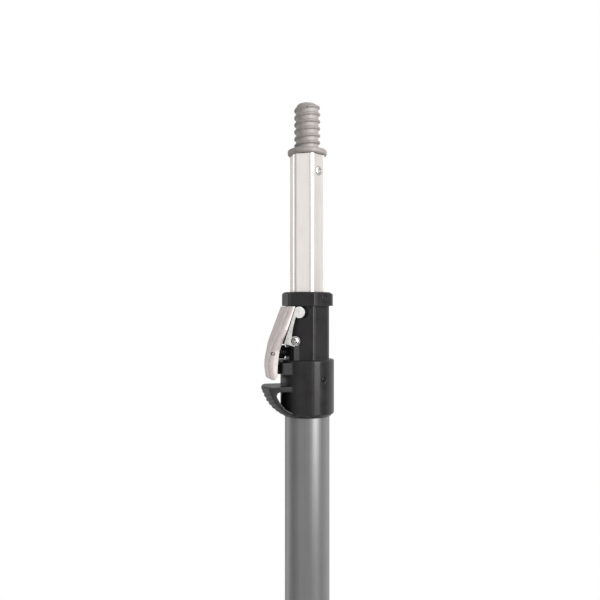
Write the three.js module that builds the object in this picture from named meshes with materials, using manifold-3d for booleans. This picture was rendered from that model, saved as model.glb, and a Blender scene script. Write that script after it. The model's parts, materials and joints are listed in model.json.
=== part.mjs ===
// Telescopic window cleaning pole: a round lower tube, a hexagonal upper tube that slides in it,
// a squeeze-lever lock between the two, and a 3/4-5 ACME screw tip that takes the cleaning tool.
//
// Millimetres, +Z up. The pole's axis is Z, and the origin is the centre of the end cap's bottom.
// The lever stands on the -X side. Places on the pole are given as (u, t, z): u is the distance
// from the axis towards -X, t the distance towards -Y, and z the height.

import * as THREE from 'three';
import { mergeVertices } from 'three/addons/utils/BufferGeometryUtils.js';
import Module from 'manifold-3d';

const wasm = await Module();
wasm.setup();

// ---------------------------------------------------------------- driving dimensions

const GAP = 0.3; // clearance between pieces that touch
const LOCK_Z = 540; // height of the lock sleeve's bottom edge

const OUTER_TUBE = { radius: 16.05, wall: 1.5, bottom: 4.3, top: LOCK_Z + 31.7 };
const CAP = { radius: 17, height: 4, plugRadius: 14.2, plugTop: 22, cupRadius: 11.5 };

const SLEEVE = { radius: 19.3, top: LOCK_Z + 40.2, bore: 16.35, boreTop: LOCK_Z + 32 };
const BODY = { flats: 29.3, chamfer: 4.7, top: LOCK_Z + 82 };
const HEX_BORE = { flats: 23.7, corner: 4.6 };
const COLLAR = { flats: 34.2, chamfer: 5.4, bottom: LOCK_Z + 78.4, top: LOCK_Z + 88.2 };
const BUSH = { flats: 27.6, bottom: LOCK_Z + 82.4, top: LOCK_Z + 85.6 };

const HEX_TUBE = { flats: 23.1, corner: 4.4, wall: 1.5, bottom: 120, top: LOCK_Z + 186 };
const GLIDE = { radius: 14.2, bottom: 108, plugTop: 146 };
const FLANGE = { radius: 14.05, top: LOCK_Z + 190.1 };
const THREAD = { crest: 9.45, root: 8, foot: 10, pitch: 5.08, start: 0.16, top: LOCK_Z + 223.4 };

const LUG = { halfWidth: 12, outer: 13.1, top: LOCK_Z + 56.3, boss: 3.4, bossFace: 13.3 };
const PIVOT = { u: 12.5, z: LOCK_Z + 53.9 };
const EAR = { inner: 13.6, outer: 15.1, hole: 2.2, boss: 3.3 };
const NOSE = { u: 9.7, z: LOCK_Z + 73.9, radius: 4 };
const NOSE_POCKET = { offset: 0.5, radius: 4.3, floor: 13.2 };
const WEB = { slope: 1 / 3, thickness: 1.5, bottom: LOCK_Z + 52.3, top: LOCK_Z + 63.5 };
const HANDLE = { wall: 1.8, corner: 4, bottom: LOCK_Z + 26.5, top: LOCK_Z + 78 };
const EYE = { u: 27.1, z: LOCK_Z + 45, radius: 1.3, halfWidth: 9.4 };
const SPRING = { z: LOCK_Z + 45.7, start: 16.2, end: 23.9, radius: 4.3, wire: 0.65, turns: 4.2 };
const REST = { halfWidth: 13.3, top: LOCK_Z + 21.9, plate: 3.5, ribs: 8, ribHeight: 0.75 };

const RIVET_ANGLE = -Math.PI / 3; // the hexagon's flat that carries the rivet seen beside the lever
const TIP_RIVET_Z = LOCK_Z + 174.1;
const GLIDE_RIVET_Z = 133;
const SLEEVE_SCREW = { angle: THREE.MathUtils.degToRad(-68), z: LOCK_Z + 27 };
const PLUG = { z: LOCK_Z + 83.3, radius: 2.5 };

// ---------------------------------------------------------------- solids

// Joins the shared corners of a closed geometry and turns it into a manifold solid.
function solid(geometry) {
  const bare = geometry.clone();
  bare.deleteAttribute('normal');
  bare.deleteAttribute('uv');
  const merged = mergeVertices(bare, 1e-4);
  const index = merged.index.array;
  const triangles = [];
  for (let i = 0; i < index.length; i += 3) {
    const [a, b, c] = [index[i], index[i + 1], index[i + 2]];
    if (a !== b && b !== c && c !== a) triangles.push(a, b, c);
  }
  if (signedVolume(merged.attributes.position.array, triangles) < 0) triangles.reverse();
  return new wasm.Manifold(new wasm.Mesh({
    numProp: 3,
    vertProperties: new Float32Array(merged.attributes.position.array),
    triVerts: new Uint32Array(triangles),
  }));
}

function signedVolume(points, triangles) {
  const corner = (i) => new THREE.Vector3().fromArray(points, 3 * i);
  let volume = 0;
  for (let i = 0; i < triangles.length; i += 3) {
    const [a, b, c] = [corner(triangles[i]), corner(triangles[i + 1]), corner(triangles[i + 2])];
    volume += a.dot(b.cross(c)) / 6;
  }
  return volume;
}

function join(first, ...others) {
  return others.reduce((whole, part) => whole.add(part), first);
}

function cut(whole, ...tools) {
  return tools.reduce((rest, tool) => rest.subtract(tool), whole);
}

function place(u, t, z) {
  return new THREE.Vector3(-u, -t, z);
}

// The outward direction of a face at an angle round the pole's axis.
function radial(angle) {
  return new THREE.Vector3(Math.cos(angle), Math.sin(angle), 0);
}

// A prism along the pole between two heights.
function prism(shape, bottom, top, curveSegments = 4) {
  const geometry = new THREE.ExtrudeGeometry(shape, {
    depth: top - bottom,
    bevelEnabled: false,
    curveSegments,
  });
  return solid(geometry.translate(0, 0, bottom));
}

// A plate whose outline is drawn as (u, z), between two distances t.
const SIDE_VIEW = new THREE.Matrix4().makeBasis(
  new THREE.Vector3(-1, 0, 0),
  new THREE.Vector3(0, 0, 1),
  new THREE.Vector3(0, 1, 0),
);

function sidePlate(shape, nearT, farT, curveSegments = 6) {
  const geometry = new THREE.ExtrudeGeometry(shape, {
    depth: nearT - farT,
    bevelEnabled: false,
    curveSegments,
  });
  return solid(geometry.translate(0, 0, -nearT).applyMatrix4(SIDE_VIEW));
}

// A turned piece. The profile is (radius, height) pairs, and height runs along direction.
function turned(profile, origin, direction, segments = 12) {
  const points = profile.map(([radius, height]) => new THREE.Vector2(radius, height));
  const geometry = new THREE.LatheGeometry(points, segments);
  const up = new THREE.Vector3(0, 1, 0);
  const turn = new THREE.Quaternion().setFromUnitVectors(up, direction.clone().normalize());
  return solid(geometry.applyQuaternion(turn).translate(origin.x, origin.y, origin.z));
}

const UP = new THREE.Vector3(0, 0, 1);

function turnedOnAxis(profile, segments) {
  return turned(profile, new THREE.Vector3(), UP, segments);
}

function rod(radius, from, to, segments = 12) {
  const along = to.clone().sub(from);
  const length = along.length();
  return turned([[0, 0], [radius, 0], [radius, length], [0, length]], from, along, segments);
}

function box(u, t, z) {
  const geometry = new THREE.BoxGeometry(u[1] - u[0], t[1] - t[0], z[1] - z[0]);
  const centre = place((u[0] + u[1]) / 2, (t[0] + t[1]) / 2, (z[0] + z[1]) / 2);
  return solid(geometry.translate(centre.x, centre.y, centre.z));
}

function polygon(points) {
  return new THREE.Shape(points.map(([x, y]) => new THREE.Vector2(x, y)));
}

// A hexagon whose flats face 0, 60, 120 ... degrees, with rounded corners. Drawn with one
// segment to a corner, each corner is a flat chamfer as wide as the radius.
function hexagon(flats, corner) {
  const shape = new THREE.Shape();
  const reach = (flats / 2 - corner) / Math.cos(Math.PI / 6);
  for (let k = 0; k < 6; k += 1) {
    const angle = Math.PI / 6 + (k * Math.PI) / 3;
    const [x, y] = [reach * Math.cos(angle), reach * Math.sin(angle)];
    shape.absarc(x, y, corner, angle - Math.PI / 6, angle + Math.PI / 6, false);
  }
  return shape;
}

// A skin through convex outlines that all have the same number of points, closed at both ends.
function loft(outlines) {
  const count = outlines[0].length;
  const positions = outlines.flat().flatMap((point) => point.toArray());
  const index = [];
  for (let row = 0; row + 1 < outlines.length; row += 1) {
    for (let i = 0; i < count; i += 1) {
      const next = (i + 1) % count;
      const [a, b] = [row * count + i, row * count + next];
      index.push(a, b, b + count, a, b + count, a + count);
    }
  }
  const last = (outlines.length - 1) * count;
  for (let i = 1; i + 1 < count; i += 1) {
    index.push(0, i + 1, i);
    index.push(last, last + i, last + i + 1);
  }
  const geometry = new THREE.BufferGeometry();
  geometry.setAttribute('position', new THREE.Float32BufferAttribute(positions, 3));
  geometry.setIndex(index);
  return solid(geometry);
}

// The value at height z of a line through (height, value) points.
function along(points, z) {
  const next = points.findIndex(([height]) => height >= z);
  if (next === 0) return points[0][1];
  if (next < 0) return points[points.length - 1][1];
  const [z0, a] = points[next - 1];
  const [z1, b] = points[next];
  return a + ((b - a) * (z - z0)) / (z1 - z0);
}

// ---------------------------------------------------------------- the assembly

const group = new THREE.Group();

const FINISHES = {
  anodised: { color: 0x8c8d8f, roughness: 0.42, metalness: 0.85 },
  aluminium: { color: 0xdcdad6, roughness: 0.34, metalness: 0.9 },
  castAlloy: { color: 0x9b948e, roughness: 0.6, metalness: 0.35 },
  blackNylon: { color: 0x252528, roughness: 0.55, metalness: 0 },
  castHandle: { color: 0xc2bbb8, roughness: 0.48, metalness: 0.5 },
  platedSteel: { color: 0xd9d9da, roughness: 0.22, metalness: 1 },
  rubber: { color: 0x1b1b1c, roughness: 0.85, metalness: 0 },
  springSteel: { color: 0x1c1c1e, roughness: 0.4, metalness: 0.7 },
};

function add(name, manifold, finish) {
  const { vertProperties, triVerts } = manifold.getMesh();
  const geometry = new THREE.BufferGeometry();
  geometry.setAttribute('position', new THREE.Float32BufferAttribute(vertProperties, 3));
  geometry.setIndex(Array.from(triVerts));
  geometry.computeVertexNormals();
  const mesh = new THREE.Mesh(geometry, new THREE.MeshStandardMaterial(FINISHES[finish]));
  mesh.name = name;
  group.add(mesh);
}

// Calls make(name suffix, sign) for the near side (t > 0) and the far side (t < 0).
function onBothSides(make) {
  make('near', 1);
  make('far', -1);
}

// ---------------------------------------------------------------- fasteners

const RIVET = { head: 3.4, shank: 1.6, hole: 1.9, length: 5, core: 1.15 };

// A blind rivet set in a face: a low domed head with the mandrel's hole in its centre.
function blindRivet(surface, direction) {
  const profile = [
    [0, -RIVET.length], [RIVET.shank, -RIVET.length], [RIVET.shank, GAP],
    [RIVET.head, GAP], [RIVET.head - 0.3, 0.75], [RIVET.head - 1.2, 1.15],
    [RIVET.core, 1.25], [RIVET.core, -1.5], [0, -1.5],
  ];
  return turned(profile, surface, direction);
}

// A screw with a domed head and one slot. The head starts at the surface point.
function domedScrew(surface, direction, headRadius, headHeight, shankRadius, shankLength) {
  const profile = [
    [0, -shankLength], [shankRadius, -shankLength], [shankRadius, 0], [headRadius, 0],
    [headRadius, headHeight * 0.45], [headRadius * 0.8, headHeight * 0.85],
    [headRadius * 0.4, headHeight], [0, headHeight],
  ];
  const slot = new THREE.BoxGeometry(0.7, headHeight, 3 * headRadius);
  slot.translate(0, headHeight * 1.05, 0);
  const turn = new THREE.Quaternion().setFromUnitVectors(new THREE.Vector3(0, 1, 0), direction);
  slot.applyQuaternion(turn).translate(surface.x, surface.y, surface.z);
  return cut(turned(profile, surface, direction), solid(slot));
}

// ---------------------------------------------------------------- lower tube and its cap

const sleeveScrewAngles = { near: SLEEVE_SCREW.angle, far: SLEEVE_SCREW.angle + Math.PI };
const SLEEVE_SCREW_HOLE = 1.4;

function sleeveScrewPoint(side, radius) {
  return radial(sleeveScrewAngles[side]).multiplyScalar(radius).setZ(SLEEVE_SCREW.z);
}

function endCap() {
  const { radius, height, plugRadius, plugTop, cupRadius } = CAP;
  return turnedOnAxis([
    [0, 0], [radius - 1, 0], [radius - 0.3, 0.3], [radius, 1], [radius, height - 0.6],
    [radius - 0.6, height], [plugRadius, height], [plugRadius, plugTop - 1],
    [plugRadius - 0.6, plugTop], [cupRadius, plugTop], [cupRadius, height], [0, height],
  ], 32);
}

function outerTube() {
  const { radius, wall, bottom, top } = OUTER_TUBE;
  const bore = radius - wall;
  const ring = [[bore, bottom], [radius, bottom], [radius, top], [bore, top], [bore, bottom]];
  const screwHoles = ['near', 'far'].map((side) => rod(
    SLEEVE_SCREW_HOLE,
    sleeveScrewPoint(side, bore - 1),
    sleeveScrewPoint(side, radius + 1),
  ));
  return cut(turnedOnAxis(ring, 48), ...screwHoles);
}

add('end_cap', endCap(), 'blackNylon');
add('outer_tube', outerTube(), 'anodised');

// ---------------------------------------------------------------- lock housing

// The hooked finger rest: a ribbed flare below a flat top plate, turned about the pole's axis
// and trimmed to its width.
function fingerRest() {
  const outerCurve = new THREE.CatmullRomCurve3([
    new THREE.Vector3(33.2, REST.top - 1.6, 0),
    new THREE.Vector3(32, LOCK_Z + 16.3, 0),
    new THREE.Vector3(29.2, LOCK_Z + 10.7, 0),
    new THREE.Vector3(25.6, LOCK_Z + 6.1, 0),
    new THREE.Vector3(20.4, LOCK_Z + 2, 0),
    new THREE.Vector3(17.2, LOCK_Z + 0.4, 0),
  ]);
  const stepsPerRib = 4;
  const steps = REST.ribs * stepsPerRib;
  const outer = outerCurve.getSpacedPoints(steps).map((point, i) => {
    const hollow = i < 3 || i > steps - 2 ? 0 : Math.sin((Math.PI * i) / stepsPerRib) ** 2;
    const tangent = outerCurve.getTangentAt(i / steps);
    const inward = new THREE.Vector3(tangent.y, -tangent.x, 0).multiplyScalar(REST.ribHeight * hollow);
    return [point.x + inward.x, point.y + inward.y];
  });
  const underPlate = REST.top - REST.plate;
  const profile = [
    [17.2, REST.top], [31.6, REST.top], [32.8, REST.top - 0.5], ...outer,
    [17.2, LOCK_Z + 3], [19.6, LOCK_Z + 3.9], [22.9, LOCK_Z + 6.4], [26.1, LOCK_Z + 10.7],
    [28.4, LOCK_Z + 15.6], [28, LOCK_Z + 17.6], [26.6, underPlate], [17.2, underPlate],
    [17.2, REST.top],
  ];
  const trim = box([10, 40], [-REST.halfWidth, REST.halfWidth], [LOCK_Z - 1, REST.top + 1]);
  return turnedOnAxis(profile, 64).intersect(trim);
}

// The lever's mounting on the body: a plate along each side, and a boss round the pivot screw.
function pivotLugs() {
  const plate = box([4, LUG.outer], [-LUG.halfWidth, LUG.halfWidth], [LOCK_Z + 38, LUG.top]);
  const boss = rod(
    LUG.boss,
    place(PIVOT.u, LUG.bossFace, PIVOT.z),
    place(PIVOT.u, -LUG.bossFace, PIVOT.z),
    24,
  );
  return join(plate, boss);
}

// A round pocket in a side flat of the body, which the rounded end of the yoke's ear stands over.
function nosePocket(sign) {
  const { offset, radius, floor } = NOSE_POCKET;
  const normal = radial((-sign * 2 * Math.PI) / 3);
  const across = new THREE.Vector3(Math.sin(Math.PI / 3), -sign * 0.5, 0);
  const from = normal.clone().multiplyScalar(floor).addScaledVector(across, offset).setZ(NOSE.z);
  return rod(radius, from, from.clone().addScaledVector(normal, floor), 24);
}

// The opening in the body's wall through which the brake shoe reaches the hexagonal tube.
const SHOE_WINDOW = box([11, 18], [-6.3, 6.3], [LOCK_Z + 58.3, LOCK_Z + 72]);
const PIVOT_HOLE = { radius: 1.9, bottom: 8.6 };

function lockHousing() {
  const { radius, top, bore, boreTop } = SLEEVE;
  const sleeve = turnedOnAxis([
    [0, LOCK_Z], [16.9, LOCK_Z], [radius, LOCK_Z + 2.2], [radius, top - 0.6],
    [radius - 0.6, top], [0, top],
  ], 56);
  const body = prism(hexagon(BODY.flats, BODY.chamfer), top - 1, BODY.top, 1);
  const pad = box([10, 20.9], [-REST.halfWidth, REST.halfWidth], [LOCK_Z + 30.3, LOCK_Z + 38.5]);
  const stop = box([10, 22.6], [-5, 5], [LOCK_Z + 30.3, LOCK_Z + 40.4]);
  const springPost = rod(3.2, place(14, 0, SPRING.z), place(20, 0, SPRING.z));
  const whole = join(sleeve, body, pivotLugs(), pad, stop, springPost, fingerRest());

  const tubeBore = turnedOnAxis([
    [0, LOCK_Z - 1], [bore, LOCK_Z - 1], [bore, boreTop], [0, boreTop],
  ], 48);
  const hexBore = prism(hexagon(HEX_BORE.flats, HEX_BORE.corner), boreTop - 1, BODY.top + 1);
  const pivotHoles = [1, -1].map((side) => rod(
    PIVOT_HOLE.radius,
    place(PIVOT.u, side * PIVOT_HOLE.bottom, PIVOT.z),
    place(PIVOT.u, side * 16, PIVOT.z),
  ));
  const screwHoles = ['near', 'far'].flatMap((side) => [
    rod(SLEEVE_SCREW_HOLE, sleeveScrewPoint(side, bore - 1), sleeveScrewPoint(side, radius)),
    rod(2.1, sleeveScrewPoint(side, 18), sleeveScrewPoint(side, radius + 2)),
  ]);
  const pockets = [1, -1].map(nosePocket);
  return cut(whole, tubeBore, hexBore, SHOE_WINDOW, ...pivotHoles, ...screwHoles, ...pockets);
}

function lockCollar() {
  const { flats, chamfer, bottom, top } = COLLAR;
  const edge = 1.8;
  const bodyPocket = prism(hexagon(BODY.flats + 2 * GAP, BODY.chamfer), bottom - 1, BODY.top + GAP, 1);
  const bushPocket = prism(hexagon(BUSH.flats + 2 * GAP, 4), bottom, BUSH.top + GAP, 1);
  const mouth = prism(hexagon(25.3, 5.2), bottom, top + 1);
  const outline = prism(hexagon(flats, chamfer), bottom, top, 1);
  const crown = turnedOnAxis([
    [0, bottom - 1], [flats, bottom - 1], [flats / 2 + 2, top - edge], [flats / 2 - 0.6, top],
    [0, top],
  ], 48);
  const plugPocket = rod(
    PLUG.radius + GAP,
    radial(RIVET_ANGLE).multiplyScalar(15.6).setZ(PLUG.z),
    radial(RIVET_ANGLE).multiplyScalar(20).setZ(PLUG.z),
  );
  return cut(outline.intersect(crown), bodyPocket, bushPocket, mouth, plugPocket);
}

function collarPlug() {
  const face = COLLAR.flats / 2;
  const { radius } = PLUG;
  const profile = [
    [0, 15.9 - face], [radius, 15.9 - face], [radius, -0.25], [radius - 0.4, 0], [0, 0.1],
  ];
  return turned(profile, radial(RIVET_ANGLE).multiplyScalar(face).setZ(PLUG.z), radial(RIVET_ANGLE));
}

function guideBush() {
  const ring = prism(hexagon(BUSH.flats, 4), BUSH.bottom, BUSH.top, 1);
  const hole = prism(hexagon(HEX_BORE.flats, HEX_BORE.corner), BUSH.bottom - 1, BUSH.top + 1);
  return cut(ring, hole);
}

add('lock_housing', lockHousing(), 'blackNylon');
add('lock_collar', lockCollar(), 'blackNylon');
add('collar_plug', collarPlug(), 'blackNylon');
add('guide_bush', guideBush(), 'blackNylon');

onBothSides((side) => {
  const direction = radial(sleeveScrewAngles[side]);
  const screw = domedScrew(sleeveScrewPoint(side, 18 + GAP), direction, 1.75, 0.7, 1.1, 3.3);
  add(`sleeve_screw_${side}`, screw, 'platedSteel');
});

onBothSides((side, sign) => {
  const surface = place(PIVOT.u, sign * (EAR.outer + GAP), PIVOT.z);
  const direction = new THREE.Vector3(0, -sign, 0);
  const shoulder = rod(
    EAR.hole - GAP,
    place(PIVOT.u, sign * (LUG.bossFace + GAP), PIVOT.z),
    place(PIVOT.u, sign * (EAR.outer + 2 * GAP), PIVOT.z),
  );
  const screw = domedScrew(surface, direction, 2.8, 1.5, PIVOT_HOLE.radius - GAP, 6.4);
  add(`pivot_screw_${side}`, join(screw, shoulder), 'platedSteel');
});

// ---------------------------------------------------------------- lever

// The outer face of the yoke's web leans with the handle.
function webFace(z) {
  return 20.5 - (z - LOCK_Z - 52) * WEB.slope;
}

const WEB_NORMAL = new THREE.Vector3(-1, 0, WEB.slope).normalize();

function earOutline() {
  const shape = new THREE.Shape();
  shape.moveTo(webFace(WEB.bottom), WEB.bottom);
  shape.lineTo(13, LOCK_Z + 50);
  shape.absarc(PIVOT.u, PIVOT.z, EAR.boss, -1.45, 0.8, true);
  shape.lineTo(15, LOCK_Z + 58.5);
  shape.lineTo(14.2, LOCK_Z + 63.2);
  shape.lineTo(12.7, LOCK_Z + 69.2);
  shape.absarc(NOSE.u, NOSE.z, NOSE.radius, -0.9, 0.75, true);
  const hole = new THREE.Path();
  hole.absarc(PIVOT.u, PIVOT.z, EAR.hole, 0, 2 * Math.PI, false);
  shape.holes.push(hole);
  return shape;
}

// A hole or a rivet through the web: its point on the web's outer face.
function webPoint(t, z, outward = 0) {
  return place(webFace(z), t, z).addScaledVector(WEB_NORMAL, outward);
}

const SHOE_RIVET_Z = LOCK_Z + 60.8;
const HANDLE_RIVET = { t: 6, z: LOCK_Z + 56.6, shank: 1.1, hole: 1.4 };

function leverYoke() {
  const ears = [1, -1].map((sign) => sidePlate(
    earOutline(),
    sign > 0 ? EAR.outer : -EAR.inner,
    sign > 0 ? EAR.inner : -EAR.outer,
    10,
  ));
  const across = WEB.thickness * Math.hypot(1, WEB.slope);
  const webOutline = polygon([
    [webFace(WEB.bottom) - across, WEB.bottom], [webFace(WEB.bottom), WEB.bottom],
    [webFace(WEB.top), WEB.top], [webFace(WEB.top) - across, WEB.top],
  ]);
  const web = sidePlate(webOutline, EAR.outer, -EAR.outer);
  const holes = [
    rod(HANDLE_RIVET.hole, webPoint(0, SHOE_RIVET_Z, -3), webPoint(0, SHOE_RIVET_Z, 3)),
    ...[1, -1].map((sign) => rod(
      HANDLE_RIVET.hole,
      webPoint(sign * HANDLE_RIVET.t, HANDLE_RIVET.z, -3),
      webPoint(sign * HANDLE_RIVET.t, HANDLE_RIVET.z, 3),
    )),
  ];
  return cut(join(web, ...ears), ...holes);
}

// The handle's outline from the side: its back, its inner edge and half its width by height.
const BACK = [[24, 29.4], [30, 29.8], [35, 30.5], [39, 30.5], [45, 29.3], [52, 27.5], [61.5, 23.4],
  [79, 16.6]];
const INNER = [[24, 23.7], [35, 23.5], [45, 22.8], [49, 21.9], [52, 20.95], [79, 12.1]];
const HALF_WIDTH = [[24, 8], [38, 8.8], [47, 9.8], [56, 13], [61.5, 14.3], [79, 14.9]];

// A rounded U section of the handle at one height, drawn inside the outline by an inset.
function handleSection(height, inset, innerExtra) {
  const outer = along(BACK, height) - inset;
  const inner = along(INNER, height) - innerExtra;
  const half = along(HALF_WIDTH, height) - inset;
  const corner = Math.min(HANDLE.corner - inset, outer - inner - 0.2);
  const shape = new THREE.Shape();
  shape.moveTo(inner, -half);
  shape.absarc(outer - corner, -half + corner, corner, -Math.PI / 2, 0, false);
  shape.absarc(outer - corner, half - corner, corner, 0, Math.PI / 2, false);
  shape.lineTo(inner, half);
  return shape.getPoints(4).map(({ x, y }) => place(x, y, LOCK_Z + height));
}

function handleOutline(inset) {
  const bottom = HANDLE.bottom + inset;
  const top = HANDLE.top - 1.9 * inset;
  const shape = new THREE.Shape();
  shape.moveTo(10, top);
  shape.lineTo(10, bottom + 3.6);
  shape.lineTo(23.3 - inset, bottom + 3.6);
  shape.quadraticCurveTo(24, bottom, 26.8, bottom);
  shape.quadraticCurveTo(29.8, bottom + 0.2, 31.5, bottom + 7);
  shape.lineTo(31.5, top);
  return shape;
}

const HEIGHTS = [24, 27, 30, 32.5, 35, 37.5, 40, 43.5, 47, 49.5, 52, 56, 61.5, 67, 73, 79];

function leverHandle() {
  const { wall } = HANDLE;
  const skin = loft(HEIGHTS.map((height) => handleSection(height, 0, 0)));
  const core = loft(HEIGHTS.map((height) => handleSection(height, wall, 6)));
  const outer = skin.intersect(sidePlate(handleOutline(0), 20, -20, 8));
  const cavity = core.intersect(sidePlate(handleOutline(wall), 20, -20, 8));
  const bosses = [1, -1].map((sign) => rod(
    2.6,
    webPoint(sign * HANDLE_RIVET.t, HANDLE_RIVET.z, 0.5),
    webPoint(sign * HANDLE_RIVET.t, HANDLE_RIVET.z, 12),
  ).intersect(outer));
  const bossHoles = [1, -1].map((sign) => rod(
    HANDLE_RIVET.hole,
    webPoint(sign * HANDLE_RIVET.t, HANDLE_RIVET.z, -1),
    webPoint(sign * HANDLE_RIVET.t, HANDLE_RIVET.z, 5.5),
  ));
  const eye = rod(EYE.radius, place(EYE.u, -20, EYE.z), place(EYE.u, 20, EYE.z));
  const bodyNotch = box([10, 15.3], [-11.2, 11.2], [LOCK_Z + 72, HANDLE.top + 1]);
  return cut(join(cut(outer, cavity), ...bosses), ...bossHoles, eye, bodyNotch);
}

// The pin across the handle at the spring, with chamfered ends that show in the two walls.
function handlePin() {
  const { u, z, radius, halfWidth } = EYE;
  const length = 2 * halfWidth;
  const shank = radius - GAP;
  const profile = [
    [0, 0], [shank - 0.3, 0], [shank, 0.3], [shank, length - 0.3], [shank - 0.3, length],
    [0, length],
  ];
  return turned(profile, place(u, -halfWidth, z), new THREE.Vector3(0, -1, 0));
}

// A solid rivet whose head lies on the web's inner face.
function handleRivet(sign) {
  const under = -WEB.thickness - GAP;
  const profile = [
    [0, under - 0.7], [1.6, under - 0.7], [2, under - 0.35], [2, under],
    [HANDLE_RIVET.shank, under], [HANDLE_RIVET.shank, 5], [0, 5],
  ];
  return turned(profile, webPoint(sign * HANDLE_RIVET.t, HANDLE_RIVET.z), WEB_NORMAL);
}

const SHOE = { pad: 11.85, plate: 13.65, halfWidth: 5.5, bottom: LOCK_Z + 59, top: LOCK_Z + 71 };

function brakeShoe() {
  const back = (z) => webFace(z) - (WEB.thickness + GAP) * Math.hypot(1, WEB.slope);
  const overWeb = WEB.top + GAP;
  const outline = polygon([
    [SHOE.plate, SHOE.bottom], [back(SHOE.bottom), SHOE.bottom], [back(overWeb), overWeb],
    [16.4, overWeb + 0.3], [16.4, SHOE.top], [SHOE.plate, SHOE.top],
  ]);
  const hole = rod(1.4, webPoint(0, SHOE_RIVET_Z, -3.2), webPoint(0, SHOE_RIVET_Z, 2));
  return cut(sidePlate(outline, SHOE.halfWidth, -SHOE.halfWidth), hole);
}

function shoePad() {
  const outline = polygon([
    [SHOE.pad, SHOE.bottom + 1], [SHOE.pad + 0.5, SHOE.bottom + 0.5],
    [SHOE.plate - GAP, SHOE.bottom + 0.5], [SHOE.plate - GAP, SHOE.top - 0.5],
    [SHOE.pad + 0.5, SHOE.top - 0.5], [SHOE.pad, SHOE.top - 1],
  ]);
  return sidePlate(outline, SHOE.halfWidth - 0.3, 0.3 - SHOE.halfWidth);
}

function shoeRivet() {
  const profile = [
    [0, -3], [1.1, -3], [1.1, GAP], [2.2, GAP], [2.1, 0.8], [1.2, 1.2], [0, 1.3],
  ];
  return turned(profile, webPoint(0, SHOE_RIVET_Z), WEB_NORMAL);
}

function springSeat() {
  const plate = box([24.2, 25.7], [-5.2, 5.2], [LOCK_Z + 38.6, LOCK_Z + 49]);
  return join(plate, rod(3, place(22, 0, SPRING.z), place(25, 0, SPRING.z)));
}

// The return spring's centre line, wound about a line that runs outwards from the pole.
class Coil extends THREE.Curve {
  getPoint(s, target = new THREE.Vector3()) {
    const angle = 2 * Math.PI * SPRING.turns * s;
    const first = SPRING.start + SPRING.wire;
    const last = SPRING.end - SPRING.wire;
    const u = THREE.MathUtils.lerp(first, last, s);
    const offset = SPRING.radius * Math.cos(angle);
    const height = SPRING.z + SPRING.radius * Math.sin(angle);
    return target.copy(place(u, offset, height));
  }
}

function returnSpring() {
  const section = new THREE.Shape();
  section.absarc(0, 0, SPRING.wire, 0, 2 * Math.PI, false);
  return solid(new THREE.ExtrudeGeometry(section, {
    steps: Math.round(12 * SPRING.turns),
    curveSegments: 6,
    extrudePath: new Coil(),
  }));
}

add('lever_yoke', leverYoke(), 'platedSteel');
add('lever_handle', leverHandle(), 'castHandle');
onBothSides((side, sign) => add(`handle_rivet_${side}`, handleRivet(sign), 'platedSteel'));
add('handle_pin', handlePin(), 'platedSteel');
add('brake_shoe', brakeShoe(), 'castAlloy');
add('shoe_pad', shoePad(), 'rubber');
add('shoe_rivet', shoeRivet(), 'platedSteel');
add('spring_seat', springSeat(), 'blackNylon');
add('return_spring', returnSpring(), 'springSteel');

// ---------------------------------------------------------------- upper tube and screw tip

const rivetSides = { near: RIVET_ANGLE, far: RIVET_ANGLE + Math.PI };

function flatPoint(side, z, distance) {
  return radial(rivetSides[side]).multiplyScalar(distance).setZ(z);
}

function rivetHole(side, z, from, to) {
  return rod(RIVET.hole, flatPoint(side, z, from), flatPoint(side, z, to));
}

function hexTube() {
  const { flats, corner, wall, bottom, top } = HEX_TUBE;
  const outline = hexagon(flats, corner);
  outline.holes.push(hexagon(flats - 2 * wall, corner - wall));
  const holes = ['near', 'far'].flatMap((side) => [TIP_RIVET_Z, GLIDE_RIVET_Z].map(
    (z) => rivetHole(side, z, flats / 2 - wall - 1, flats / 2 + 1),
  ));
  return cut(prism(outline, bottom, top), ...holes);
}

const PLUG_FLATS = HEX_TUBE.flats - 2 * HEX_TUBE.wall - 2 * GAP;

// A plug that fills the end of the hexagonal tube, with blind holes for two rivets.
function tubePlug(bottom, top, rivetZ) {
  const plug = prism(hexagon(PLUG_FLATS, 2.6), bottom, top);
  return cut(plug, ...['near', 'far'].map((side) => rivetHole(side, rivetZ, 6, 12)));
}

function tubeGlide() {
  const { radius, bottom, plugTop } = GLIDE;
  const top = HEX_TUBE.bottom - GAP;
  const disc = turnedOnAxis([
    [0, bottom], [radius - 0.8, bottom], [radius, bottom + 0.8], [radius, top - 0.8],
    [radius - 0.8, top], [0, top],
  ], 36);
  return join(disc, tubePlug(top - 1, plugTop, GLIDE_RIVET_Z));
}

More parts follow.
